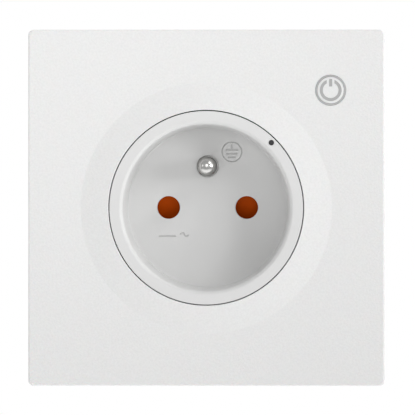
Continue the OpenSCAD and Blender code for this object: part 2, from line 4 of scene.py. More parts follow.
import bmesh
import bpy
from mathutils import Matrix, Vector


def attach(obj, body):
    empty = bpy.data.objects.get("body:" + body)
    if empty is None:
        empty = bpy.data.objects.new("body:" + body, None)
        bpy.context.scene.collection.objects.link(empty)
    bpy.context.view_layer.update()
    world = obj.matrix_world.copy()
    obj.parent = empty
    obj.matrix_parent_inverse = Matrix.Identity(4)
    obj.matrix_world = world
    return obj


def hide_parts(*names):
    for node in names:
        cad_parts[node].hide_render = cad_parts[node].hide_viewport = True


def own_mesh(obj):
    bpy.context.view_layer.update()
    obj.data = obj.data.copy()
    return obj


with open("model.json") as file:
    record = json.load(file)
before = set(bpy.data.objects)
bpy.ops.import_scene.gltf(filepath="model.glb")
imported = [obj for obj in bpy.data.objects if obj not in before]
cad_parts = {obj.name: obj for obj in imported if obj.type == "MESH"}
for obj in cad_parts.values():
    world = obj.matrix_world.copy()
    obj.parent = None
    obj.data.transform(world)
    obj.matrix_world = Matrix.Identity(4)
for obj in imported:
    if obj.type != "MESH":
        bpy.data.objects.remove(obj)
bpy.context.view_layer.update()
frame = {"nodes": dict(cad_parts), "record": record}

# Main sizes in millimetres, in the row frame: the front faces -Y and the wall is y = 0
HALF = 43.0  # half the faceplate's width
FRONT = -10.0  # flat front of the faceplate
TOP = -11.0  # front of the cone and of the insert
INNER = -8.0  # inner face of the faceplate's front
HOLE_R = 23.6  # the faceplate's opening
CONE_R = 30.3  # foot of the cone
FLOOR = 4.0  # floor of the well
BACK = 6.0  # back of the well's floor
CUP_R = 21.4  # outside of the well
PIN_X = 9.5  # pin holes, either side of the centre
EARTH_Z = 10.0  # earth pin, above the centre
SIGN = (5.9, 13.5)  # centre of the earth sign
LIGHT_R = 22.2  # the status light's distance from the centre
LIGHT_ANGLE = math.radians(45)
BUTTON = (30.0, 28.35)
RING_R = 3.7
CAP_R = 3.2
BOARD = -5.0  # front face of the control board
ON_BOARD = BOARD - 0.02  # feet of the parts in front of it
POSTS = ((-31, 16.5), (31, 16.5), (-31, 31.2), (20, 31.2))
COVER_SCREWS = ((-9.5, -14), (9.5, -14))
FRAME_SCREWS = ((18.6, 18.6), (-18.6, 18.6), (18.6, -18.6), (-18.6, -18.6))
TERMINALS = {"left": -11.5, "middle": 0.0, "right": 11.5}
TERM_Z = -17.0
CONTACT = 23.2  # front of the contact straps
POWER = 28.6  # front face of the power board
ON_POWER = POWER - 0.02  # feet of the parts in front of it
RELAY_PINS = [(-9, 11.5), (-9, 18), (3.5, 11.5), (3.5, 18), (-1, 14.8)]
FUSE_X = -18.1
CLAW = (25.9, -11.0)

ROUND = 192  # points on the large circles of the front
SHARP = math.radians(38)  # an edge that turns further than this is drawn sharp
PLASTIC_IOR = 1.47


# ---- materials

class Finish:
    """A material being made: nodes in object space that feed its shader.

    Inputs are named as in Blender, with an underscore for each space.
    """

    def __init__(self, name):
        self.material = bpy.data.materials.new(name)
        self.material.use_nodes = True
        self.nodes = self.material.node_tree.nodes
        self.link = self.material.node_tree.links.new
        self.shader = self.nodes["Principled BSDF"]

    def fill(self, node, values):
        for name, value in values.items():
            node.inputs[name.replace("_", " ")].default_value = value
        return node

    def add(self, kind, vector=None, **values):
        """A new node with its inputs filled in."""
        node = self.fill(self.nodes.new("ShaderNode" + kind), values)
        if vector is not None:
            self.link(vector, node.inputs["Vector"])
        return node

    def set(self, **values):
        """Constants on the shader's own sockets."""
        self.fill(self.shader, values)

    def coords(self, stretch=(1, 1, 1)):
        """Object coordinates in metres, stretched along each axis."""
        where = self.add("TexCoord")
        return self.add("Mapping", where.outputs["Object"], Scale=stretch).outputs["Vector"]

    def noise(self, vector, grain_mm, detail=3.0, rough=0.55):
        """Noise whose features are about grain_mm across."""
        tex = self.add("TexNoise", vector, Scale=1000.0 / grain_mm, Detail=detail, Roughness=rough)
        return tex.outputs["Fac"]

    def ramp(self, fac, stops):
        """A colour ramp over fac, from (position, grey or colour) stops."""
        node = self.add("ValToRGB")
        elements = node.color_ramp.elements
        while len(elements) < len(stops):
            elements.new(0.5)
        for element, (position, colour) in zip(elements, stops):
            element.position = position
            element.color = (*colour, 1) if isinstance(colour, tuple) else (colour, colour, colour, 1)
        self.link(fac, node.inputs["Fac"])
        return node.outputs["Color"]

    def vary(self, socket, fac, stops):
        """Lets a ramp over fac drive one of the shader's sockets."""
        self.link(self.ramp(fac, stops), self.shader.inputs[socket])

    def bump(self, height, depth_mm):
        node = self.add("Bump", Distance=depth_mm / 1000.0, Strength=1.0)
        self.link(height, node.inputs["Height"])
        self.link(node.outputs["Normal"], self.shader.inputs["Normal"])


def shade(colour, gain):
    """A colour made lighter or darker."""
    return tuple(min(1.0, c * gain) for c in colour)


def plastic(name, colour, rough, grain_mm=0.5, depth_mm=0.004, patch=0.02, coat=0.0, subsurface=0.0,
            specular=0.5, speck=False):
    """Moulded plastic: a fine texture, faint patches (or specks) of tone and uneven gloss."""
    f = Finish(name)
    at = f.coords()
    fine = f.noise(at, grain_mm, 4.0)
    tone = fine if speck else f.noise(at, 14.0, 2.0)
    f.vary("Base Color", tone, [(0.3, shade(colour, 1 - patch)), (0.7, shade(colour, 1 + patch))])
    f.vary("Roughness", fine, [(0.25, rough * 0.9), (0.75, min(1.0, rough * 1.12))])
    f.bump(fine, depth_mm)
    f.set(IOR=PLASTIC_IOR, Specular_IOR_Level=specular, Coat_Weight=coat, Coat_Roughness=0.15)
    if subsurface:
        f.set(Subsurface_Weight=subsurface, Subsurface_Scale=0.001)
    return f.material


def metal(name, colour, rough, stretch=(1, 1, 1), grain_mm=0.25, depth_mm=0.002, stain=0.12, tarnish=None,
          edge=1.0):
    """Worked metal: brushed or stamped grain, smears of tarnish and uneven polish."""
    f = Finish(name)
    grain = f.noise(f.coords(stretch), grain_mm, 5.0)
    broad = f.noise(f.coords(), 5.0, 4.0, 0.65)
    f.vary("Base Color", broad, [(0.35, tarnish or shade(colour, 1 - stain)), (0.62, colour)])
    f.vary("Roughness", grain, [(0.3, rough * 0.75), (0.7, min(1.0, rough * 1.3))])
    f.bump(grain, depth_mm)
    f.set(Metallic=1.0, Specular_Tint=(edge, edge, edge, 1))
    return f.material


def galvanised(name, colour):
    """Zinc sheet: flat crystals of slightly different grey, with a rolled grain."""
    f = Finish(name)
    crystals = f.add("TexVoronoi", f.coords(), Scale=260.0, Randomness=1.0)
    split = f.add("SeparateColor")
    f.link(crystals.outputs["Color"], split.inputs["Color"])
    f.vary("Base Color", split.outputs["Red"], [(0.1, shade(colour, 0.92)), (0.9, shade(colour, 1.05))])
    f.vary("Roughness", split.outputs["Green"], [(0.1, 0.34), (0.9, 0.44)])
    f.bump(f.noise(f.coords((1, 1, 8)), 0.6, 4.0), 0.002)
    f.set(Metallic=1.0)
    return f.material


def solder_mask(name):
    """A circuit board: green lacquer over copper tracks that show as paler raised lines."""
    f = Finish(name)
    at = f.coords()
    turn = f.add("Mapping", at, Rotation=(math.radians(90), 0, 0))
    tracks = f.add("TexBrick", turn.outputs["Vector"], Scale=420.0, Mortar_Size=0.09, Mortar_Smooth=0.3,
                   Brick_Width=1.35, Row_Height=0.5)
    both = f.add("Math")
    both.operation = "MULTIPLY"
    f.link(tracks.outputs["Fac"], both.inputs[0])
    f.link(f.ramp(f.noise(at, 6.0, 1.0), [(0.47, 0.0), (0.5, 1.0)]), both.inputs[1])
    raised = both.outputs["Value"]
    f.vary("Base Color", raised, [(0.3, (0.012, 0.085, 0.038)), (0.7, (0.035, 0.17, 0.075))])
    f.vary("Roughness", f.noise(at, 0.8), [(0.3, 0.28), (0.7, 0.4)])
    f.bump(raised, 0.03)
    return f.material


def striped(name, colour, line, pitch_mm, share, axis, rough=0.4, depth_mm=0.05):
    """Plastic film or wound wire with even stripes across one axis."""
    f = Finish(name)
    scale = 2 * math.pi / (20 * pitch_mm / 1000.0)
    wave = f.add("TexWave", f.coords(), Scale=scale, Distortion=0.15, Detail=2.0)
    wave.bands_direction = axis
    f.vary("Base Color", wave.outputs["Fac"], [(share, colour), (min(1.0, share + 0.12), line)])
    f.vary("Roughness", f.noise(f.coords(), 1.5), [(0.3, rough * 0.8), (0.7, rough * 1.2)])
    f.bump(wave.outputs["Fac"], depth_mm)
    return f.material


def make_materials():
    """Every finish, by the name of the record's material slot."""
    made = {}

    def add(maker, name, *values, **more):
        made[name] = maker(name, *values, **more)

    add(plastic, "white_plate", (0.87, 0.87, 0.865), 0.5, 0.48, 0.04, 0.032, subsurface=0.04, speck=True)
    add(plastic, "white_insert", (0.79, 0.79, 0.785), 0.36, 0.9, 0.002, 0.006)
    add(plastic, "smoked_lens", (0.055, 0.055, 0.057), 0.35, 0.3, 0.002, 0.1, specular=0.25)
    add(plastic, "grey_diffuser", (0.5, 0.5, 0.5), 0.4, 0.3, 0.002, 0.02, subsurface=0.1)
    add(plastic, "grey_print", (0.47, 0.47, 0.47), 0.5, 0.3, 0.003, 0.02)
    add(plastic, "black_plastic", (0.022, 0.022, 0.024), 0.45, 0.35, 0.006, 0.12)
    add(solder_mask, "circuit_board")
    add(metal, "shield_can", (0.64, 0.65, 0.66), 0.26, (1, 1, 6), 0.4, 0.001)
    add(plastic, "led_body", (0.85, 0.8, 0.5), 0.2, 0.2, 0.002, 0.05, coat=0.6)
    add(plastic, "ivory_plastic", (0.68, 0.65, 0.57), 0.42, 0.6, 0.005, 0.03)
    add(metal, "zinc_screw", (0.62, 0.63, 0.65), 0.28, (1, 1, 1), 0.2, 0.003, 0.2)
    add(striped, "ribbon_sleeve", (0.55, 0.56, 0.57), (0.82, 0.83, 0.84), 0.5, 0.4, "X")
    add(galvanised, "zinc_sheet", (0.6, 0.61, 0.63))
    add(plastic, "dark_housing", (0.05, 0.05, 0.054), 0.48, 0.5, 0.01, 0.06)
    add(metal, "nickel_brass", (0.64, 0.635, 0.62), 0.19, (1, 0.3, 1), 0.15, 0.0002, 0.05, edge=0.12)
    add(metal, "brass_strip", (0.76, 0.55, 0.25), 0.3, (1, 1, 8), 0.3, 0.002, 0.2, (0.5, 0.3, 0.12))
    add(plastic, "orange_shutter", (0.58, 0.076, 0.001), 0.42, 0.5, 0.004, 0.06, specular=0.05)
    add(metal, "spring_steel", (0.58, 0.59, 0.6), 0.22, (1, 1, 1), 0.15, 0.001, 0.15)
    add(plastic, "relay_case", (0.018, 0.03, 0.07), 0.34, 0.6, 0.003, 0.08, coat=0.2)
    add(plastic, "capacitor_sleeve", (0.012, 0.018, 0.085), 0.26, 0.4, 0.002, 0.1, coat=0.4)
    add(plastic, "film_case", (0.72, 0.47, 0.035), 0.33, 0.7, 0.004, 0.05, coat=0.2)
    add(plastic, "ceramic_white", (0.76, 0.74, 0.69), 0.2, 0.8, 0.002, 0.03, coat=0.5)
    add(metal, "cage_steel", (0.68, 0.62, 0.46), 0.34, (1, 1, 1), 0.3, 0.003, 0.2, (0.52, 0.5, 0.42))
    add(metal, "claw_zinc", (0.5, 0.51, 0.52), 0.5, (1, 1, 1), 0.35, 0.02, 0.2)
    add(plastic, "floor", (0.88, 0.88, 0.88), 0.8, 3.0, 0.02, 0.01)
    add(metal, "solder", (0.72, 0.72, 0.72), 0.3, (1, 1, 1), 0.3, 0.004, 0.15)
    add(striped, "copper_wire", (0.35, 0.12, 0.04), (0.75, 0.32, 0.12), 0.35, 0.35, "Y", 0.35, 0.08)
    return made


# ---- shapes

def along_y(u, v, w):
    """An XZ outline drawn along Y."""
    return (u, w, v)


def along_x(u, v, w):
    """A YZ outline drawn along X."""
    return (w, u, v)


def along_z(u, v, w):
    """An XY outline drawn along Z."""
    return (u, v, w)


def rounded(points, radius, steps=4, closed=True):
    """The outline with each corner turned on an arc. radius is one number, or one for each point."""
    out = []
    count = len(points)
    for i, point in enumerate(points):
        r = radius[i] if isinstance(radius, (list, tuple)) else radius
        here = Vector(point)
        if r <= 0 or (not closed and i in (0, count - 1)):
            out.append(tuple(here))
            continue
        to_last = Vector(points[i - 1]) - here
        to_next = Vector(points[(i + 1) % count]) - here
        angle = to_last.angle(to_next)
        if angle > math.pi - 0.01:
            out.append(tuple(here))
            continue
        spare = [0.98 if not closed and k in (0, count - 1) else 0.49 for k in (i - 1, (i + 1) % count)]
        run = min(r / math.tan(angle / 2), spare[0] * to_last.length, spare[1] * to_next.length)
        r = run * math.tan(angle / 2)
        u, v = to_last.normalized(), to_next.normalized()
        centre = here + (u + v).normalized() * (r / math.sin(angle / 2))
        first, last = here + u * run - centre, here + v * run - centre
        start = math.atan2(first.y, first.x)
        sweep = (math.atan2(last.y, last.x) - start + math.pi) % (2 * math.pi) - math.pi
        for k in range(steps + 1):
            a = start + sweep * k / steps
            out.append((centre.x + r * math.cos(a), centre.y + r * math.sin(a)))
    return out


def circle(r, n=48, at=(0, 0)):
    """Points of a circle."""
    return [(at[0] + r * math.cos(2 * math.pi * k / n), at[1] + r * math.sin(2 * math.pi * k / n))
            for k in range(n)]


def rect(u, v, r=0.0, steps=3):
    """A rectangle from its low and high u and v, with corners of radius r."""
    return rounded([(u[0], v[0]), (u[1], v[0]), (u[1], v[1]), (u[0], v[1])], r, steps)


def offset(outline, distance):
    """The outline moved inwards by distance, or outwards if it is negative."""
    area = sum(a[0] * b[1] - b[0] * a[1] for a, b in zip(outline, outline[1:] + outline[:1]))
    side = 1.0 if area > 0 else -1.0
    out = []
    for i, here in enumerate(outline):
        last, nxt = outline[i - 1], outline[(i + 1) % len(outline)]
        a = Vector((here[0] - last[0], here[1] - last[1])).normalized()
        b = Vector((nxt[0] - here[0], nxt[1] - here[1])).normalized()
        na, nb = Vector((-a.y, a.x)), Vector((-b.y, b.x))
        move = (na + nb) / max(0.3, 1 + na.dot(nb)) * distance * side
        out.append((here[0] + move.x, here[1] + move.y))
    return out


def edge_arc(edge, start, into, steps=3):
    """(inset, height) of a rounded edge that begins at the face at height start and goes into the body."""
    angles = [math.pi / 2 * k / steps for k in range(steps + 1)]
    return [(edge * (1 - math.sin(a)), start + into * edge * (1 - math.cos(a))) for a in angles]


def disc(low, high, outer, inner=0):
    """The profile of a disc or flat ring, for Shape.turned."""
    return [(inner, low), (outer, low), (outer, high), (inner, high)]


class Shape:
    """Closed shells, in millimetres in the row frame, gathered into one object.

    slots are its materials, by material slot. The first is the finish of the whole piece.
    """

    def __init__(self, m, *slots):
        self.bm = bmesh.new()
        self.slots = slots
        self.materials = [m[slot] for slot in slots]
        self.index = 0

    def use(self, index):
        """The shells that follow take this material."""
        self.index = index
        return self

    def ring(self, points, height, along=along_y):
        return [self.bm.verts.new(along(u, v, height)) for u, v in points]

    def face(self, corners):
        made = self.bm.faces.new(corners)
        made.material_index = self.index

    def strip(self, a, b):
        for i in range(len(a)):
            j = (i + 1) % len(a)
            self.face((a[i], a[j], b[j], b[i]))

    def loft(self, rings):
        """Joins rings of (points, height) one to the next, and returns them."""
        made = [self.ring(points, height) for points, height in rings]
        self.join(made)
        return made

    def join(self, rings):
        for a, b in zip(rings, rings[1:]):
            self.strip(a, b)

    def cap(self, *rings):
        """Fills the flat area inside the first ring and outside the others."""
        edges = []
        for ring in rings:
            for a, b in zip(ring, ring[1:] + ring[:1]):
                edges.append(self.bm.edges.get((a, b)) or self.bm.edges.new((a, b)))
        made = bmesh.ops.triangle_fill(self.bm, use_beauty=True, use_dissolve=False, edges=edges)
        for item in made["geom"]:
            if isinstance(item, bmesh.types.BMFace):
                item.material_index = self.index

    def prism(self, outline, low, high, edge=0.12, holes=(), along=along_y, steps=2):
        """An outline drawn from low to high, its rims rounded, with holes right through."""
        ends = [[], []]
        for number, points in enumerate([outline, *holes]):
            way = 1 if number == 0 else -1
            profile = edge_arc(edge, low, 1, steps) + edge_arc(edge, high, -1, steps)[::-1]
            rings = [self.ring(offset(points, way * inset), height, along) for inset, height in profile]
            self.join(rings)
            ends[0].append(rings[0])
            ends[1].append(rings[-1])
        self.cap(*ends[0])
        self.cap(*ends[1])
        return self

    def block(self, x, y, z, edge=0.15, corner=None):
        """A box with rounded edges, from its low and high X, Y and Z."""
        return self.prism(rect(x, z, edge if corner is None else corner), y[0], y[1], edge)

    def turned(self, profile, at=(0, 0), n=48, edge=0.1, along=along_y, steps=3):
        """A profile of (radius, height) turned about an axis through at. Its ends close at radius 0."""
        rows = []
        for r, height in rounded(profile, edge, steps, closed=False):
            if r < 1e-6:
                rows.append([self.bm.verts.new(along(at[0], at[1], height))])
            else:
                rows.append(self.ring(circle(r, n, at), height, along))
        for a, b in zip(rows, rows[1:]):
            if len(a) == 1 or len(b) == 1:
                tip, rim = (a[0], b) if len(a) == 1 else (b[0], a)
                for i in range(len(rim)):
                    self.face((rim[i], rim[(i + 1) % len(rim)], tip))
            else:
                self.strip(a, b)
        if len(rows[0]) > 1 and len(rows[-1]) > 1:
            self.strip(rows[-1], rows[0])
        return self

    def tube(self, path, r, n=10):
        """A round wire along 3-D points, with closed ends."""
        points = [Vector(p) for p in path]
        angles = [2 * math.pi * k / n for k in range(n)]
        side = None
        rows = []
        for i, p in enumerate(points):
            ahead = (points[min(i + 1, len(points) - 1)] - points[max(i - 1, 0)]).normalized()
            if side is None:
                side = ahead.orthogonal().normalized()
            side = (side - ahead * side.dot(ahead)).normalized()
            other = ahead.cross(side)
            around = [p + (side * math.cos(a) + other * math.sin(a)) * r for a in angles]
            rows.append([self.bm.verts.new(point) for point in around])
        self.join(rows)
        self.face(rows[0])
        self.face(rows[-1])
        return self

    def quarter_turns(self, since, k):
        """Turns every vertex made after the first since by k quarter turns about the Y axis."""
        self.bm.verts.ensure_lookup_table()
        for v in self.bm.verts[since:]:
            (x, z), = four_ways([(v.co.x, v.co.z)], k)
            v.co = (x, v.co.y, z)

    def finish(self, name, *nodes, body="socket", slot=None):
        """Makes the object: it rides on a body, stands for nodes, and takes the shape's finishes. slot is not
        used.
        """
        bmesh.ops.recalc_face_normals(self.bm, faces=self.bm.faces)
        for v in self.bm.verts:
            v.co *= 0.001
        for f in self.bm.faces:
            f.smooth = True
        for e in self.bm.edges:
            e.smooth = len(e.link_faces) == 2 and e.calc_face_angle(0) < SHARP
        mesh = bpy.data.meshes.new(name)
        self.bm.to_mesh(mesh)
        self.bm.free()
        for material in self.materials:
            mesh.materials.append(material)
        made = bpy.data.objects.new(name, mesh)
        bpy.context.scene.collection.objects.link(made)
        normals = made.modifiers.new("face weighted normals", "WEIGHTED_NORMAL")
        normals.keep_sharp = True
        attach(made, body)
        if nodes:
            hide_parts(*nodes)
        return made


# ---- front pieces

def square_ring(half, r):
    """A square's outline with round corners, the same number of points for every size."""
    return rect((-half, half), (-half, half), max(r, 0.15), 6)


def plate_shell(s):
    """The faceplate's front, cone, sides and inner face, as one shell with its two openings."""
    outline = edge_arc(0.4, FRONT, 1, 4)
    outline += [(0, -0.25), (0.25, 0), (1.75, 0), (2, -0.25), (2, -7.6), (2.4, INNER)]
    outer = s.loft([(square_ring(HALF - inset, 1.3 - inset), y) for inset, y in outline])
    cone = rounded([(CONE_R + 1.2, FRONT), (CONE_R, FRONT), (HOLE_R, TOP), (HOLE_R, -7.6), (25, -7.6),
                    (25, INNER)], [0, 0.9, 0.14, 0.15, 0.15, 0], 4, closed=False)
    mouth = s.loft([(circle(r, ROUND), y) for r, y in cone])
    rim = edge_arc(0.06, FRONT, 1, 3) + [(0, INNER)]
    hole = s.loft([(circle(RING_R + 0.04 + inset, 96, BUTTON), y) for inset, y in rim])
    s.cap(outer[0], mouth[0], hole[0])
    s.cap(outer[-1], mouth[-1], hole[-1])


def four_ways(points, k):
    """An outline turned k quarter turns about the Y axis."""
    for _ in range(k):
        points = [(-v, u) for u, v in points]
    return points


def plate_hooks(s):
    """Four snap hooks, four ribs and the board's posts behind the faceplate."""
    for k in range(4):
        s.prism(four_ways(rect((36, 37.4), (-4.5, 4.5), 0.3), k), INNER - 0.3, -1.6, 0.2)
        barb = [(-5.4, 36.2), (-5, 34.1), (-4.3, 34.1), (-3.6, 36.2)]
        before = len(s.bm.verts)
        s.prism(rounded([(x, y) for y, x in barb], 0.12), -4, 4, 0.15, along=along_z)
        s.quarter_turns(before, k)
    for degrees in (35, 62, 118, 145):
        a = -math.radians(degrees)
        out, side = Vector((math.cos(a), math.sin(a))), Vector((-math.sin(a), math.cos(a))) * 0.5
        corners = [out * 24.9 - side, out * 39 - side, out * 39 + side, out * 24.9 + side]
        s.prism(rounded([tuple(c) for c in corners], 0.1), INNER - 0.3, -6.3, 0.2)
    for at in POSTS:
        s.prism(circle(2.2, 32, at), INNER - 0.3, ON_BOARD, 0.15, [circle(0.9, 24, at)])


def faceplate(m):
    s = Shape(m, "white_plate")
    plate_shell(s)
    plate_hooks(s)
    s.finish("faceplate_shell", "faceplate")


def groove(s, outlines, floor, depth):
    """Cuts a groove bounded by an outer outline and any inner ones, and returns its rims."""
    walls = [s.loft([(points, floor), (offset(points, -0.03 if number else 0.03), floor + depth)])
             for number, points in enumerate(outlines)]
    s.cap(*[bottom for rim, bottom in walls])
    return [rim for rim, bottom in walls]


def wave_outline(at, half, r):
    """A thin S-shaped band of width 2 * half round two half turns of radius r."""
    upper, lower = [], []
    steps = 10
    for k in range(2 * steps + 1):
        a = math.pi * (1 - k / steps)
        centre, sign = (at[0], 1) if k <= steps else (at[0] + 2 * r, -1)
        for side, out in ((1, upper), (-1, lower)):
            reach = sign * r + side * half
            out.append((centre + reach * math.cos(a), at[1] + reach * abs(math.sin(a))))
    return upper + lower[::-1]


def insert_floor(s, rim):
    """The well's floor: pin holes, earth hole, and the earth sign and plain mark cut into it."""
    holes = []
    for at, r in (((-PIN_X, 0), 2.75), ((PIN_X, 0), 2.75), ((0, EARTH_Z), 2.64)):
        profile = edge_arc(0.18 if r > 2.7 else 0.05, FLOOR, 1, 3) + [(0, BACK)]
        holes.append(s.loft([(circle(r + inset, 64, at), y) for inset, y in profile]))
    cx, cz = SIGN
    sign, island = groove(s, [circle(2.52, 64, SIGN), circle(2.24, 64, SIGN)], FLOOR, 0.45)
    stem = [(-1.5, 0.32), (1.5, 0.32), (1.5, 0.72), (0.22, 0.72), (0.22, 1.85), (-0.22, 1.85), (-0.22, 0.72),
            (-1.5, 0.72)]
    bars = [stem, rect((-1.35, 1.35), (-0.66, -0.26)), rect((-0.9, 0.9), (-1.5, -1.14))]
    cut = [groove(s, [[(u + cx, v + cz) for u, v in bar]], FLOOR, 0.45)[0] for bar in bars]
    s.cap(island, *cut)
    marks = [rect((-11.8, -7.7), (-7.15, -6.8)), wave_outline((-6.1, -6.6), 0.16, 0.45)]
    rims = [groove(s, [outline], FLOOR, 0.4)[0] for outline in marks]
    s.cap(rim, *[h[0] for h in holes], sign, *rims)
    return [h[-1] for h in holes]


def light_spot(beyond=0.0):
    """The status light's place on its diagonal, or a point beyond it."""
    r = LIGHT_R + beyond
    return (r * math.cos(LIGHT_ANGLE), r * math.sin(LIGHT_ANGLE))


def socket_insert(m):
    """The rim, wall and floor of the well, its four catches and the bosses for the shutter cover."""
    s = Shape(m, "white_insert")
    well = rounded([(21.45, TOP), (20.8, TOP), (20.15, TOP + 0.7), (19.42, FLOOR), (18.9, FLOOR)],
                   [0, 0.6, 0.9, 0.3, 0], 7, closed=False)
    inside = s.loft([(circle(r, ROUND), y) for r, y in well])
    outside = rounded([(22.9, TOP), (23.35, TOP), (23.35, TOP + 1.5), (CUP_R, TOP + 1.5), (CUP_R, BACK),
                       (20.5, BACK)], [0, 0.1, 0.15, 0.2, 0.5, 0], 4, closed=False)
    shell = s.loft([(circle(r, ROUND), y) for r, y in outside[1:]])
    lip = s.ring(circle(23.2, ROUND), TOP)
    s.strip(lip, shell[0])
    rim = edge_arc(0.08, TOP, 1, 2) + [(0, TOP + 1.1)]
    pipe = s.loft([(circle(0.66 + inset, 32, light_spot()), y) for inset, y in rim])
    s.cap(pipe[-1])
    s.cap(lip, inside[0], pipe[0])
    rears = insert_floor(s, inside[-1])
    s.cap(shell[-1], *rears)
    for k in range(4):
        s.prism(four_ways(rect((21.0, 22.7), (-3, 3), 0.4), k), 2.1, 3.6, 0.2)
    for at in COVER_SCREWS:
        s.prism(circle(2.3, 32, at), BACK - 0.3, 9.75, 0.15, [circle(0.9, 24, at)])
    s.finish("socket_insert_well", "socket_insert")


def status_light(m):
    """The smoked lens in the rim, its rod, and its foot over the light."""
    s = Shape(m, "smoked_lens")
    lens = [(0, TOP + 0.12), (0.5, TOP + 0.12), (0.64, TOP + 0.3), (0.64, TOP + 1.08), (0, TOP + 1.08)]
    s.turned(lens, light_spot(), 32, 0.05)
    s.turned(disc(TOP + 1.6, -7.4, 0.62), light_spot(), 32, 0.05)
    s.turned(disc(-7.45, BOARD - 0.7, 1.2), light_spot(0.75), 32, 0.15)
    s.finish("status_light_lens", "status_light_pipe")


def earth_pin(m):
    """The domed pin, with the collar and neck that hold it in the well's floor."""
    s = Shape(m, "nickel_brass")
    tip = FLOOR - 14
    profile = [(0, tip), (1.5, tip + 0.05), (2.4, tip + 2.1), (2.4, 3.4), (2.2, 3.55), (2.2, 3.8),
               (2.58, 3.85), (2.58, 6.05), (3, 6.1), (3, 7.3), (1.6, 7.3), (1.6, 12.02), (2.6, 12.05),
               (2.3, 12.8), (0, 12.9)]
    radii = [0, 2.2, 2.2] + [0.05] * 5 + [0.15, 0.15, 0.1, 0.05, 0.2, 0.4, 0]
    s.turned(profile, (0, EARTH_Z), 64, radii, steps=6)
    s.finish("earth_pin_rod", "earth_pin")


def power_sign(gap=0.0):
    """Outlines of the open ring and the bar of the power sign, grown by gap."""
    outer, inner = 2.61 + gap, 1.91 - gap
    half = 0.95 - gap
    start, end = math.asin(half / outer), math.asin(half / inner)
    arc = [math.pi / 2 + start + (2 * math.pi - 2 * start) * k / 48 for k in range(49)]
    back = [math.pi / 2 - end - (2 * math.pi - 2 * end) * k / 48 for k in range(49)]
    ring = [(outer * math.cos(a), outer * math.sin(a)) for a in arc]
    ring += [(inner * math.cos(a), inner * math.sin(a)) for a in back]
    bar = rect((-0.36 - gap, 0.36 + gap), (0.92 - gap, 2.68 + gap), 0.06, 2)
    return [[(u + BUTTON[0], v + BUTTON[1]) for u, v in points] for points in (ring, bar)]


def button_cap(m):
    """The cap, and the printed power sign let into it."""
    s = Shape(m, "white_plate")
    profile = edge_arc(0.06, FRONT, 1, 3) + [(0, -7.45), (-0.7, -7.45), (-0.7, -7.0)]
    rings = s.loft([(circle(CAP_R - inset, 96, BUTTON), y) for inset, y in profile])
    pockets = [groove(s, [points], FRONT, 0.32)[0] for points in power_sign(0.02)]
    s.cap(rings[0], *pockets)
    s.cap(rings[-1])
    s.finish("button_cap_disc", "button_cap", body="button")
    sign = Shape(m, "grey_print")
    for points in power_sign():
        sign.prism(points, FRONT, FRONT + 0.3, 0.02, steps=1)
    sign.finish("button_sign", "button_icon", body="button")


def button_ring(m):
    s = Shape(m, "grey_diffuser")
    inner, outer = RING_R - 0.45, RING_R + 1
    s.turned([(inner, FRONT), (RING_R, FRONT), (RING_R, -7.98), (outer, -7.98), (outer, -7.55),
              (inner, -7.55), (inner, FRONT + 0.3)], BUTTON, 96, 0.06)
    s.finish("button_ring", "button_light_ring")


def button_switch(m):
    """The switch on the board, with its four feet, and the plunger that the cap pushes."""
    switch = Shape(m, "black_plastic", "solder")
    u, v = BUTTON
    body = [(x + u, z + v) for x, z in rect((-2.6, 2.6), (-2.6, 2.6), 0.3)]
    switch.prism(body, BOARD - 1.5, ON_BOARD, 0.1, [circle(1.1, 32, BUTTON)])
    switch.use(1)
    for x in (u - 2.75, u + 2.75):
        for z in (v - 1.7, v + 1.7):
            switch.block((x - 0.35, x + 0.35), (BOARD - 0.35, ON_BOARD), (z - 0.35, z + 0.35), 0.06)
    switch.finish("button_switch_body", "button_switch")
    plunger = Shape(m, "white_insert")
    plunger.turned(disc(-6.98, -5.95, 1), BUTTON, 32, 0.12)
    plunger.finish("button_plunger", "switch_plunger", body="button")


def shutter(m):
    """The sliding shutter: a ramped blade over each pin hole, on a plate with the spring's window."""
    s = Shape(m, "orange_shutter")
    blade = rounded([(6.2, 3.4), (6.2, 3.0), (8.5, -3.4), (9.6, -3.4), (9.6, 3.4)], [0.2, 0.5, 0.2, 0.2, 0.2])
    for x in (-13, 6.2):
        s.prism(blade, x, x + 6.8, 0.25, along=along_x)
    plate = [(-6.4, 3.4), (-6.4, -9), (-3.2, -9), (-3.2, -20), (3.2, -20), (3.2, -9), (6.4, -9), (6.4, 3.4),
             (3.2, 3.4), (3.2, 0.6), (-3.2, 0.6), (-3.2, 3.4)]
    s.prism(rounded(plate, 0.35), 7.4, 9.6, 0.2, [rect((-1.9, 1.9), (-18.6, -4.6), 0.3)])
    s.finish("shutter_slider", "shutter", body="shutter")


def cover_screws(m):
    head = [(1.6, 12.2), (1.85, 12.05), (2, 11.5), (2, 11.02)]
    screw_set(m, "cover_screws", COVER_SCREWS, head, 1.2, -0.6, (0.85, 0.14, 0.5, 11.1, 7))


def shutter_spring(m):
    """One wound wire with a closed turn at each end, on a mesh of its own."""
    s = Shape(m, "spring_steel")
    low, high, turns, r = -18.38, -5.68, 11, 1.28
    path = []
    for k in range(turns * 24 + 1):
        t = k / 24
        share = min(max((t - 1) / (turns - 2), 0), 1)
        lift = 0.36 * min(t, 1) + (high - low - 1.06) * share + 0.36 * max(t - turns + 1, 0)
        a = 2 * math.pi * t
        path.append((r * math.cos(a), 8.15 + r * math.sin(a), low + 0.17 + lift))
    s.tube(path, 0.17, 10)
    made = s.finish("shutter_return_spring", "shutter_spring")
    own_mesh(made)


# ---- small standard parts

CROSS = [(-1, -0.17), (-0.17, -0.17), (-0.17, -1), (0.17, -1), (0.17, -0.17), (1, -0.17),
         (1, 0.17), (0.17, 0.17), (0.17, 1), (-0.17, 1), (-0.17, 0.17), (-1, 0.17)]
SLOT = [(-1, -0.15), (1, -0.15), (1, 0.15), (-1, 0.15)]


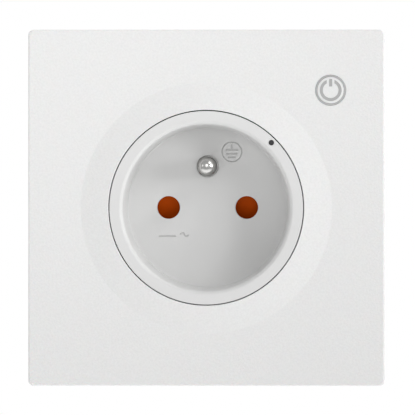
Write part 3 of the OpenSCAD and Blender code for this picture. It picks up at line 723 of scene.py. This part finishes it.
def screw(s, at, head, recess, reach, depth, shank):
    """A screw along Y. head runs (radius, y) from the rim of its outer face to its underside.

    shank is (radius, thread depth, pitch, y at the head, y at the tip).
    """
    rings = s.loft([(circle(r, 48, at), y) for r, y in head])
    outline = [(u * reach + at[0], v * reach + at[1]) for u, v in recess]
    s.cap(rings[0], groove(s, [outline], head[0][1], depth)[0])
    s.cap(rings[-1])
    r, cut, pitch, start, tip = shank
    way = 1 if tip > start else -1
    n, per_turn = 24, 6
    rows = int(abs(tip - start) / pitch * per_turn)
    made = []
    for row in range(rows + 1):
        height = start + way * row * pitch / per_turn
        points = []
        for k in range(n):
            phase = (row / per_turn - k / n) % 1.0
            swell = 1 - abs(2 * phase - 1)
            fade = min(1.0, (rows - row) / per_turn)
            here = r - cut * (1 - min(1.0, swell * 1.5)) - (1 - fade) * r * 0.35
            a = 2 * math.pi * k / n
            points.append((at[0] + here * math.cos(a), at[1] + here * math.sin(a)))
        made.append(s.ring(points, height))
    s.join(made)
    s.cap(made[0])
    s.cap(made[-1])


def joint_dots(s, points, y, way, r=0.75, height=0.55):
    """Cones of solder round pins on a board's face at y, standing towards way."""
    tip, foot = y + way * height, y - way * 0.1
    cone = [(0, tip), (r * 0.3, tip), (r * 0.45, y + way * height * 0.5), (r, y + way * 0.04), (r, foot),
            (0, foot)]
    for at in points:
        s.turned(cone, at, 20, 0.08, steps=2)


def passives(s, spots, y, way):
    """Tiny chip resistors and capacitors on a board: (x, z, length along X, width along Z).

    Their ends take the shape's second material, and their middles its third.
    """
    for x, z, length, width in spots:
        low, high = sorted((y, y + way * 0.5))
        middle = (x - length * 0.3, x + length * 0.3)
        s.use(2).block(middle, (low, high), (z - width / 2, z + width / 2), 0.05)
        s.use(1)
        for side in (-1, 1):
            ends_x = sorted((x + side * length * 0.28, x + side * length / 2))
            s.block(ends_x, (low - 0.02, high + 0.02), (z - width / 2 - 0.02, z + width / 2 + 0.02), 0.06)


def chip(s, x, y, z, legs, along="x"):
    """A chip from its low and high X, Y and Z, with legs bent down on the two sides along an axis."""
    s.use(0).block(x, y, z, 0.08)
    board, way = (y[1], -1) if y[0] < BOARD else (y[0], 1)
    depth = sorted((board, board + way * 0.18))
    across, row = (x, z) if along == "x" else (z, x)
    s.use(1)
    for k in range(legs):
        spot = row[0] + (row[1] - row[0]) * ((k + 0.5) / legs)
        width = (spot - 0.16, spot + 0.16)
        for side, way_out in ((0, -1), (1, 1)):
            reach = sorted((across[side] + way_out * 0.55, across[side] - way_out * 0.1))
            s.block(reach if along == "x" else width, depth, width if along == "x" else reach, 0.04)


def screw_set(m, node, spots, head, *rest):
    """Fixed screws with cross recesses, as one piece."""
    s = Shape(m, "zinc_screw")
    for at in spots:
        screw(s, at, head, CROSS, *rest)
    s.finish(node + "_threaded", node)


def soften(node, width_mm):
    """Rounds the edges of a CAD node with modifiers, which leave its mesh as it is."""
    made = frame["nodes"][node].modifiers
    made.new("weld seams", "WELD").merge_threshold = 1e-6
    flat = made.new("merge flat faces", "DECIMATE")
    flat.decimate_type = "DISSOLVE"
    flat.angle_limit = math.radians(0.5)
    made.new("split into triangles", "TRIANGULATE")
    edge = made.new("rounded edges", "BEVEL")
    edge.width = width_mm / 1000
    edge.segments = 2
    edge.limit_method = "ANGLE"
    edge.angle_limit = math.radians(32)
    edge.miter_outer = "MITER_ARC"
    edge.harden_normals = False
    made.new("face weighted normals", "WEIGHTED_NORMAL").keep_sharp = True


# ---- control electronics

def control_board(m):
    """The slim board behind the faceplate, with its tracks, small parts and plated holes."""
    s = Shape(m, "circuit_board", "solder", "ceramic_white")
    dent = [(22 * math.cos(a), 22 * math.sin(a)) for a in
            [math.pi - math.asin(14 / 22) + (2 * math.asin(14 / 22) - math.pi) * k / 48 for k in range(49)]]
    outline = [(-33.6, 14), *dent, (33.6, 14), (33.6, 33.6), (5, 33.6), (5, 25), (-5, 25), (-5, 33.6),
               (-33.6, 33.6)]
    s.prism(outline, BOARD, BOARD + 1, 0.05, [circle(1.1, 32, at) for at in POSTS], steps=1)
    s.use(1)
    test_points = ((24.5, 15.2), (27, 15.2), (29.5, 30.5), (-20, 17.2), (-22.5, 17.2), (-25, 17.2),
                   (16.5, 30), (-8, 26))
    for at in test_points:
        s.prism(circle(0.6, 24, at), BOARD + 0.98, BOARD + 1.03, 0.01, [circle(0.25, 16, at)], steps=1)
    joint_dots(s, [(7.5 + k, 23.6) for k in range(8)], BOARD, -1, 0.4, 0.3)
    large, small = (1.6, 0.8), (1.2, 0.6)
    back = [(22, 18.5, *large), (24.6, 18.5, *large), (14, 27.5, *small), (14, 29.0, *small),
            (17.5, 26.5, *large), (-16, 25.5, *large), (-16, 27.5, *large), (-27.5, 25, *small),
            (-27.5, 27, *small), (-14, 30, 2, 1.2)]
    passives(s, back, BOARD + 1, 1)
    front = [(18, 21.5, *large), (18, 23.5, *large), (14, 25.5, *small), (22.5, 27, *large),
             (29.5, 22.8, *large), (-29.8, 27, *small), (-29.8, 29, *small), (7, 27, *small), (7, 29, *small),
             (28.5, 15.4, *small)]
    passives(s, front, BOARD, -1)
    s.finish("control_board_populated", "control_board")


def radio_module(m):
    """A small board with a shield can, edge contacts and a folded aerial track."""
    s = Shape(m, "circuit_board", "shield_can", "solder")
    s.block((-27.6, -11), (BOARD - 0.8, ON_BOARD), (19.8, 33), 0.05, 0.2)
    s.use(1).block((-27, -16), (BOARD - 2.3, BOARD - 0.75), (20.4, 32.4), 0.18, 0.5)
    s.prism(rect((-25.8, -17.2), (21.6, 31.2), 0.4), BOARD - 2.4, BOARD - 2.25, 0.06)
    s.use(2)
    for k in range(8):
        z = 20.8 + k * 1.5
        for x in (-27.62, -15.6):
            s.block((x, x + 0.45), (BOARD - 0.84, BOARD - 0.03), (z - 0.3, z + 0.3), 0.05)
    path = []
    for k in range(5):
        x = -15 + k * 0.85
        ends = (21.2, 31.8) if k % 2 else (31.8, 21.2)
        path += [(x, BOARD - 0.8, ends[0]), (x, BOARD - 0.8, ends[1])]
    s.tube(path, 0.12, 6)
    s.finish("radio_module", "wifi_module", slot="shield_can")


def control_chips(m):
    s = Shape(m, "black_plastic", "solder")
    chip(s, (20.8, 24.8), (BOARD - 1, ON_BOARD), (20.5, 24.5), 7)
    chip(s, (25.2, 27.6), (BOARD - 1.1, ON_BOARD), (17, 19.6), 3, "z")
    chip(s, (9, 12.2), (BOARD - 0.9, ON_BOARD), (27, 29), 4, "z")
    chip(s, (-31.5, -29.5), (BOARD - 0.8, ON_BOARD), (21, 24.2), 3)
    chip(s, (-24, -19), (BOARD + 1.02, BOARD + 2.2), (24, 29), 6)
    s.finish("chips_with_legs", "control_chips")


def surface_lights(m):
    """The status light and the two lights behind the button's ring."""
    s = Shape(m, "led_body", "solder", "ceramic_white")
    for x, z in (light_spot(0.9), *((BUTTON[0], BUTTON[1] + dz) for dz in (-3.65, 3.65))):
        s.use(2).block((x - 0.55, x + 0.55), (BOARD - 0.5, ON_BOARD), (z - 0.5, z + 0.5), 0.06)
        dome = [(0, BOARD - 0.65), (0.35, BOARD - 0.62), (0.42, BOARD - 0.45), (0, BOARD - 0.45)]
        s.use(0).turned(dome, (x, z), 20)
        s.use(1)
        for side in (-1, 1):
            end = sorted((x + side * 0.5, x + side * 0.8))
            s.block(end, (BOARD - 0.3, ON_BOARD), (z - 0.45, z + 0.45), 0.05)
    s.finish("surface_lights", "indicator_leds")


def front_connector(m):
    s = Shape(m, "ivory_plastic", "black_plastic")
    s.block((6.5, 15.5), (BOARD + 1.02, BOARD + 2.8), (23.0, 25), 0.15)
    s.use(1).block((6.7, 15.3), (BOARD + 1.1, BOARD + 2.7), (22.2, 23.05), 0.12)
    s.finish("cable_plug_front", "control_connector")


def board_screws(m):
    head = [(1.5, BOARD + 2.2), (1.75, BOARD + 2.05), (1.9, BOARD + 1.5), (1.9, BOARD + 1.02)]
    screw_set(m, "board_screws", POSTS, head, 1.1, -0.6, (0.85, 0.14, 0.5, BOARD + 1.1, -7))


def ribbon(m):
    """Twelve thin wires side by side, bent from the front plug back to the power board."""
    s = Shape(m, "ribbon_sleeve")
    corner = rounded([(-3.1, 22.1), (-3.1, 21.4), (27.4, 21.4), (27.4, 21.07)], [0, 0.5, 0.25, 0], 5,
                     closed=False)
    path = []
    for (y0, z0), (y1, z1) in zip(corner, corner[1:]):
        steps = max(1, int((y1 - y0) / 1.5))
        path += [(y0 + (y1 - y0) * k / steps, z0 + (z1 - z0) * k / steps) for k in range(steps)]
    path.append(corner[-1])
    for k in range(12):
        x = 8.25 + k * 0.5
        s.tube([(x, y, z) for y, z in path], 0.2, 8)
    s.prism(rect((-2.6, 26.8), (21.34, 21.46)), 8.1, 13.9, 0.02, along=along_x, steps=1)
    s.finish("flat_cable", "ribbon_cable")


# ---- frame and rear body

def slot_outline(x, z, along="x"):
    """A box-screw slot 8 mm long and 3.5 mm wide about a point."""
    half = 2.25
    points = []
    for k in range(34):
        end = 1 if k < 17 else -1
        a = -math.pi / 2 + math.pi * (k % 17) / 16 + (0 if k < 17 else math.pi)
        points.append((end * half + 1.75 * math.cos(a), 1.75 * math.sin(a)))
    return [(x + u, z + v) if along == "x" else (x - v, z + u) for u, v in points]


def mounting_frame(m):
    """The pressed steel frame: a sheet with a turned-up rim, windowed tabs and every slot and hole."""
    s = Shape(m, "zinc_sheet")
    half = 35.5
    outside = edge_arc(0.25, 0, -1, 3)
    outside += [(0, -3.2), (0.15, -3.4), (1.05, -3.4), (1.2, -3.25), (1.2, -1.5), (1.35, -1.27), (1.6, -1.2)]
    rings = s.loft([(square_ring(half - inset, 3 - inset), y) for inset, y in outside])
    start = math.atan2(21.49, 7)
    sweep = 2 * math.pi - start + math.atan2(16.905, 15)
    angles = [start + sweep * k / 120 for k in range(121)]
    opening = [(22.6 * math.cos(a), 22.6 * math.sin(a)) for a in angles] + [(15, 22.6), (7, 22.6)]
    holes = [opening, slot_outline(30, 0), slot_outline(-30, 0), slot_outline(0, 30, "z"),
             slot_outline(0, -30, "z")]
    holes += [circle(1.7, 32, (side * CLAW[0], CLAW[1])) for side in (-1, 1)]
    hole_edge = ((0.1, -1.2), (0, -1.1), (0, -0.1), (0.1, 0))
    countersink = ((3.0, -1.2), (2.85, -1.14), (1.72, -0.05), (1.72, 0))
    walls = [s.loft([(offset(points, -inset), y) for inset, y in hole_edge]) for points in holes]
    walls += [s.loft([(circle(r, 48, at), y) for r, y in countersink]) for at in FRAME_SCREWS]
    s.cap(rings[-1], *[wall[0] for wall in walls])
    s.cap(rings[0], *[wall[-1] for wall in walls])
    for k in range(4):
        before = len(s.bm.verts)
        window = rect((-5.7, -3.3), (-4.6, 4.6), 0.3)
        s.prism(rect((-6.5, -2.8), (-8, 8), 0.4), 34.3, 35.5, 0.15, [window], along=along_x)
        s.quarter_turns(before, k)
    s.finish("frame_pressing", "mounting_frame")


def frame_screws(m):
    head = [(2.6, -1.2), (2.75, -1.15), (2.6, -1.02), (1.5, -0.05), (1.4, 0.1)]
    screw_set(m, "frame_screws", FRAME_SCREWS, head, 1.6, 0.7, (1.45, 0.22, 0.8, 0, 12.4))


def turning_screws(m):
    """The screws that turn, each on its own body."""
    head = [(2.35, 33.1), (2.62, 32.95), (2.7, 32.7), (2.7, 31.65), (2.55, 31.5), (1.6, 31.5)]
    for side, x in TERMINALS.items():
        s = Shape(m, "zinc_screw")
        screw(s, (x, TERM_Z), head, SLOT, 2.25, -0.9, (1.65, 0.26, 0.6, 31.55, CONTACT + 1.27))
        node = "terminal_screw_" + side
        s.finish("terminal_screw_threaded_" + side, node, body=node)
    head = [(1.95, -3.5), (2.45, -3.3), (2.72, -2.85), (2.75, -1.4), (2.6, -1.25), (1.4, -1.25)]
    for side, sign in (("left", -1), ("right", 1)):
        at = (sign * CLAW[0], CLAW[1])
        s = Shape(m, "zinc_screw")
        screw(s, at, head, CROSS, 1.7, 0.8, (1.45, 0.2, 0.5, -1.3, 27))
        s.turned(disc(0.1, 0.8, 2.3, 1.42), at, 32, 0.12)
        node = "claw_screw_" + side
        s.finish("claw_screw_threaded_" + side, node, body=node)


# ---- power electronics

def relay(m):
    s = Shape(m, "relay_case", "solder", "grey_print")
    s.block((-11, 6), (POWER - 15.3, POWER - 0.35), (9.6, 20), 0.35, 0.5)
    s.use(2).prism(rect((-9.6, 4.6), (11, 18.6), 0.3), POWER - 15.32, POWER - 15.2, 0.04)
    s.use(1)
    for x, z in RELAY_PINS:
        s.block((x - 0.3, x + 0.3), (POWER - 0.5, ON_POWER), (z - 0.5, z + 0.5), 0.05)
    s.finish("relay_block", "relay")


def electrolytics(m):
    """Two cans in shrunk sleeves, each with a cross scored in its top."""
    s = Shape(m, "capacitor_sleeve", "solder")
    for at, r, height in (((-15.8, 14.4), 4.0, 11.5), ((-18.1, 4.6), 2.5, 9.0)):
        top, neck = POWER - height, POWER - (1.3 if r > 3 else 1.1)
        can = [(r - 0.55, top), (r - 0.2, top), (r, top + 0.3), (r, neck - 0.35), (r - 0.22, neck),
               (r, neck + 0.35), (r, POWER - 0.3), (r - 0.4, POWER - 0.1), (0, POWER - 0.1)]
        s.use(0).turned(can, at, 64, 0.15)
        s.use(1)
        rings = s.loft([(circle(r - 0.5, 64, at), top + 0.6), (circle(r - 0.5, 64, at), top + 0.2)])
        lines = [(u * (r - 1.1) + at[0], v * (r - 1.1) + at[1]) for u, v in
                 [(a * 0.9, b * 0.45 if abs(b) < 0.5 else b * 0.9) for a, b in CROSS]]
        s.cap(rings[-1], groove(s, [lines], top + 0.2, 0.15)[0])
        s.cap(rings[0])
    s.finish("electrolytic_cans", "capacitors")


def film_capacitor(m):
    s = Shape(m, "film_case", "solder")
    s.block((16, 20.4), (POWER - 10, POWER - 0.5), (-3.6, 7.2), 0.4, 0.5)
    s.use(1)
    for z in (-1.9, 5.5):
        s.tube([(18.2, POWER - 0.7, z), (18.2, ON_POWER, z)], 0.3, 10)
    s.finish("film_block", "film_capacitor")


def transformer(m):
    """A ferrite core round a bobbin wound with wire and a band of tape."""
    s = Shape(m, "black_plastic", "copper_wire", "shield_can", "film_case")
    for y in ((POWER - 12.5, POWER - 10), (POWER - 2.5, ON_POWER)):
        s.use(2).block((8, 18), y, (8.4, 10.2), 0.25)
        s.block((8, 18), y, (16.8, 18.6), 0.25)
    s.block((8, 18), (POWER - 12.5, POWER - 11.3), (8.4, 18.6), 0.25)
    s.use(0)
    for y in ((POWER - 11.3, POWER - 10.5), (POWER - 3, POWER - 2.2)):
        s.prism(rect((8.2, 17.8), (10, 17), 0.5), y[0], y[1], 0.15)
    s.block((8.2, 17.8), (POWER - 2.3, POWER - 0.05), (10.4, 16.6), 0.2)
    s.use(1)
    for k in range(19):
        y = POWER - 10.35 + k * 0.39
        s.turned(disc(y - 0.17, y + 0.17, 4.6, 3.6), (13, 13.5), 40, 0.16)
    s.use(3).turned(disc(POWER - 8.6, POWER - 6.2, 4.62, 3.7), (13, 13.5), 40, 0.05)
    s.finish("wound_transformer", "power_transformer")


def fuse(m):
    s = Shape(m, "ceramic_white", "zinc_screw")
    x, y = FUSE_X, POWER - 3.4
    for low, high in ((-10, -8), (-2, 0)):
        s.use(1).turned(disc(low, high, 2.2), (x, y), 40, 0.25, along=along_z)
    s.use(0).turned(disc(-9, -1, 1.9), (x, y), 40, 0.1, along=along_z)
    s.use(1)
    for z in (-9.2, -0.8):
        s.tube([(x, y + 1.9, z), (x, ON_POWER, z)], 0.38, 12)
    s.finish("ceramic_fuse", "fuse")


def rear_connector(m):
    s = Shape(m, "ivory_plastic")
    s.block((7, 14.6), (POWER - 2, ON_POWER), (19.2, 21), 0.15)
    s.finish("cable_plug_rear", "power_connector")


def power_solder(m):
    """The soldered ends of the leads, behind the power board."""
    s = Shape(m, "solder")
    capacitor_pins = [(-15.8, 12.8), (-15.8, 16), (-18.1, 3.6), (-18.1, 5.6), (18.2, -1.9), (18.2, 5.5)]
    transformer_pins = [(9.5, 9.3), (16.5, 9.3), (9.5, 17.7), (16.5, 17.7)]
    fuse_pins = [(FUSE_X, -9.2), (FUSE_X, -0.8)]
    pins = RELAY_PINS + capacitor_pins + transformer_pins + fuse_pins
    joint_dots(s, pins, POWER + 1.4, 1)
    joint_dots(s, [(8.3 + k, 20.1) for k in range(6)], POWER + 1.4, 1, 0.38, 0.35)
    s.finish("power_board_solder", slot="circuit_board")


# Radius of the rounded edges, in millimetres, of the CAD nodes that are shown as they are
EDGES = {
    "chassis_plate": 0.2, "rear_housing": 0.12, "wire_entry_plate": 0.2, "shutter_cover": 0.25,
    "contact_carrier": 0.2, "power_board": 0.05, "earth_strap": 0.12, "live_contact": 0.1,
    "neutral_contact": 0.1, "live_busbar": 0.12, "clamp_cage_left": 0.15, "clamp_cage_middle": 0.15,
    "clamp_cage_right": 0.15, "claw_nut_left": 0.15, "claw_nut_right": 0.15, "claw_left": 0.2,
    "claw_right": 0.2,
}


# ---- light, floor and camera

FLOOR_Z = -2.2  # metres
FLOOR_HALF = 12.0


def make_floor(m):
    """A plain pale floor below the object."""
    bm = bmesh.new()
    bmesh.ops.create_grid(bm, x_segments=8, y_segments=8, size=FLOOR_HALF)
    mesh = bpy.data.meshes.new("floor")
    bm.to_mesh(mesh)
    bm.free()
    mesh.materials.append(m["floor"])
    floor = bpy.data.objects.new("floor", mesh)
    floor.location = (0, 0, FLOOR_Z)
    bpy.context.scene.collection.objects.link(floor)


# Soft boxes aimed at the object: azimuth, height (degrees), distance, width (metres), watts
SOFT_BOXES = {
    "left_edge": (-84, 5, 0.6, 0.35, 0.15),
    "right_high": (70, 45, 0.6, 0.35, 0.33),
    "right_near": (70, 10, 0.38, 0.2, 0.31),
    "rear_left": (-140, 25, 0.9, 0.6, 3.2),
    "rear_right": (145, 15, 0.9, 0.6, 1.4),
    "above": (180, 70, 0.9, 0.6, 1.6),
}
# Feathered lamps aimed at the upper left of the plate: azimuth, height (degrees), watts
LAMPS = {
    "lamp_left": (-35, 5, 1.16),
    "lamp_front": (5, 5, 1.91),
    "lamp_right": (45, 5, 4.67),
    "lamp_right_high": (45, 35, 5.64),
}
LAMP_AIM = (-0.05, -0.01, 0.05)
LAMP_DISTANCE, LAMP_REACH = 0.8, 0.16
FLOOR_WATTS = 150.0
SKY = 0.5


def place(made, azimuth, height, distance, target):
    """Puts a lamp or camera at an angle (degrees) and distance from its target, facing it."""
    a, e = math.radians(azimuth), math.radians(height)
    away = Vector((math.sin(a) * math.cos(e), -math.cos(a) * math.cos(e), math.sin(e)))
    made.location = Vector(target) + away * distance
    made.rotation_euler = away.to_track_quat("Z", "Y").to_euler()
    bpy.context.scene.collection.objects.link(made)


def place_light(data, *where):
    made = bpy.data.objects.new(data.name, data)
    made.visible_camera = False
    place(made, *where)


def make_light():
    """Soft boxes, lamps, a wash over the floor, and an even world that the camera sees as white."""
    wash = bpy.data.lights.new("floor_wash", "AREA")
    wash.shape, wash.size, wash.energy = "SQUARE", 7.0, FLOOR_WATTS
    place_light(wash, 0, 90, 1.0, (0, 0, FLOOR_Z))
    for name, (azimuth, height, distance, width, watts) in SOFT_BOXES.items():
        data = bpy.data.lights.new(name, "AREA")
        data.shape, data.size, data.energy = "SQUARE", width, watts
        place_light(data, azimuth, height, distance, (0, 0, 0))
    for name, (azimuth, height, watts) in LAMPS.items():
        data = bpy.data.lights.new(name, "SPOT")
        data.energy, data.shadow_soft_size, data.spot_blend = watts, 0.12, 1.0
        data.spot_size = 2 * math.atan(LAMP_REACH / LAMP_DISTANCE)
        place_light(data, azimuth, height, LAMP_DISTANCE, LAMP_AIM)
    world = bpy.data.worlds.new("studio")
    bpy.context.scene.world = world
    world.use_nodes = True
    nodes, link = world.node_tree.nodes, world.node_tree.links.new
    sky = nodes["Background"]
    seen = nodes.new("ShaderNodeBackground")
    for background, strength in ((sky, SKY), (seen, 1.0)):
        background.inputs["Color"].default_value = (1, 1, 1, 1)
        background.inputs["Strength"].default_value = strength
    path = nodes.new("ShaderNodeLightPath")
    mix = nodes.new("ShaderNodeMixShader")
    link(path.outputs["Is Camera Ray"], mix.inputs["Fac"])
    link(sky.outputs["Background"], mix.inputs[1])
    link(seen.outputs["Background"], mix.inputs[2])
    link(mix.outputs["Shader"], nodes["World Output"].inputs["Surface"])


def make_camera():
    """A long lens from about two metres, a little to the right and above."""
    data = bpy.data.cameras.new("camera")
    distance, width = 2.0, 0.10012  # width is what the picture takes in at the faceplate
    data.sensor_width = 36.0
    data.lens = data.sensor_width * distance / width
    data.clip_start, data.clip_end = 0.05, 50.0
    camera = bpy.data.objects.new("camera", data)
    place(camera, 1.4, 0.3, distance, (0.0003, FRONT / 1000, 0.00006))
    bpy.context.scene.camera = camera
    bpy.context.scene.view_settings.view_transform = "Standard"
    bpy.context.scene.view_settings.look = "None"


def dress_cad(m):
    """Gives every CAD node the finish of its slot in the record."""
    for part in frame["record"]["subparts"]:
        mesh = frame["nodes"][part["node"]].data
        mesh.materials.clear()
        mesh.materials.append(m[part["material_slot"]])


PIECES = (faceplate, socket_insert, status_light, earth_pin, button_cap, button_ring, button_switch, shutter,
          shutter_spring, control_board, radio_module, control_chips, surface_lights, front_connector,
          board_screws, ribbon, mounting_frame, frame_screws, turning_screws, relay, electrolytics,
          film_capacitor, transformer, fuse, rear_connector, power_solder, cover_screws)


def main():
    m = make_materials()
    dress_cad(m)
    make_camera()
    for make in PIECES:
        make(m)
    for node, width_mm in EDGES.items():
        soften(node, width_mm)
    make_floor(m)
    make_light()


main()
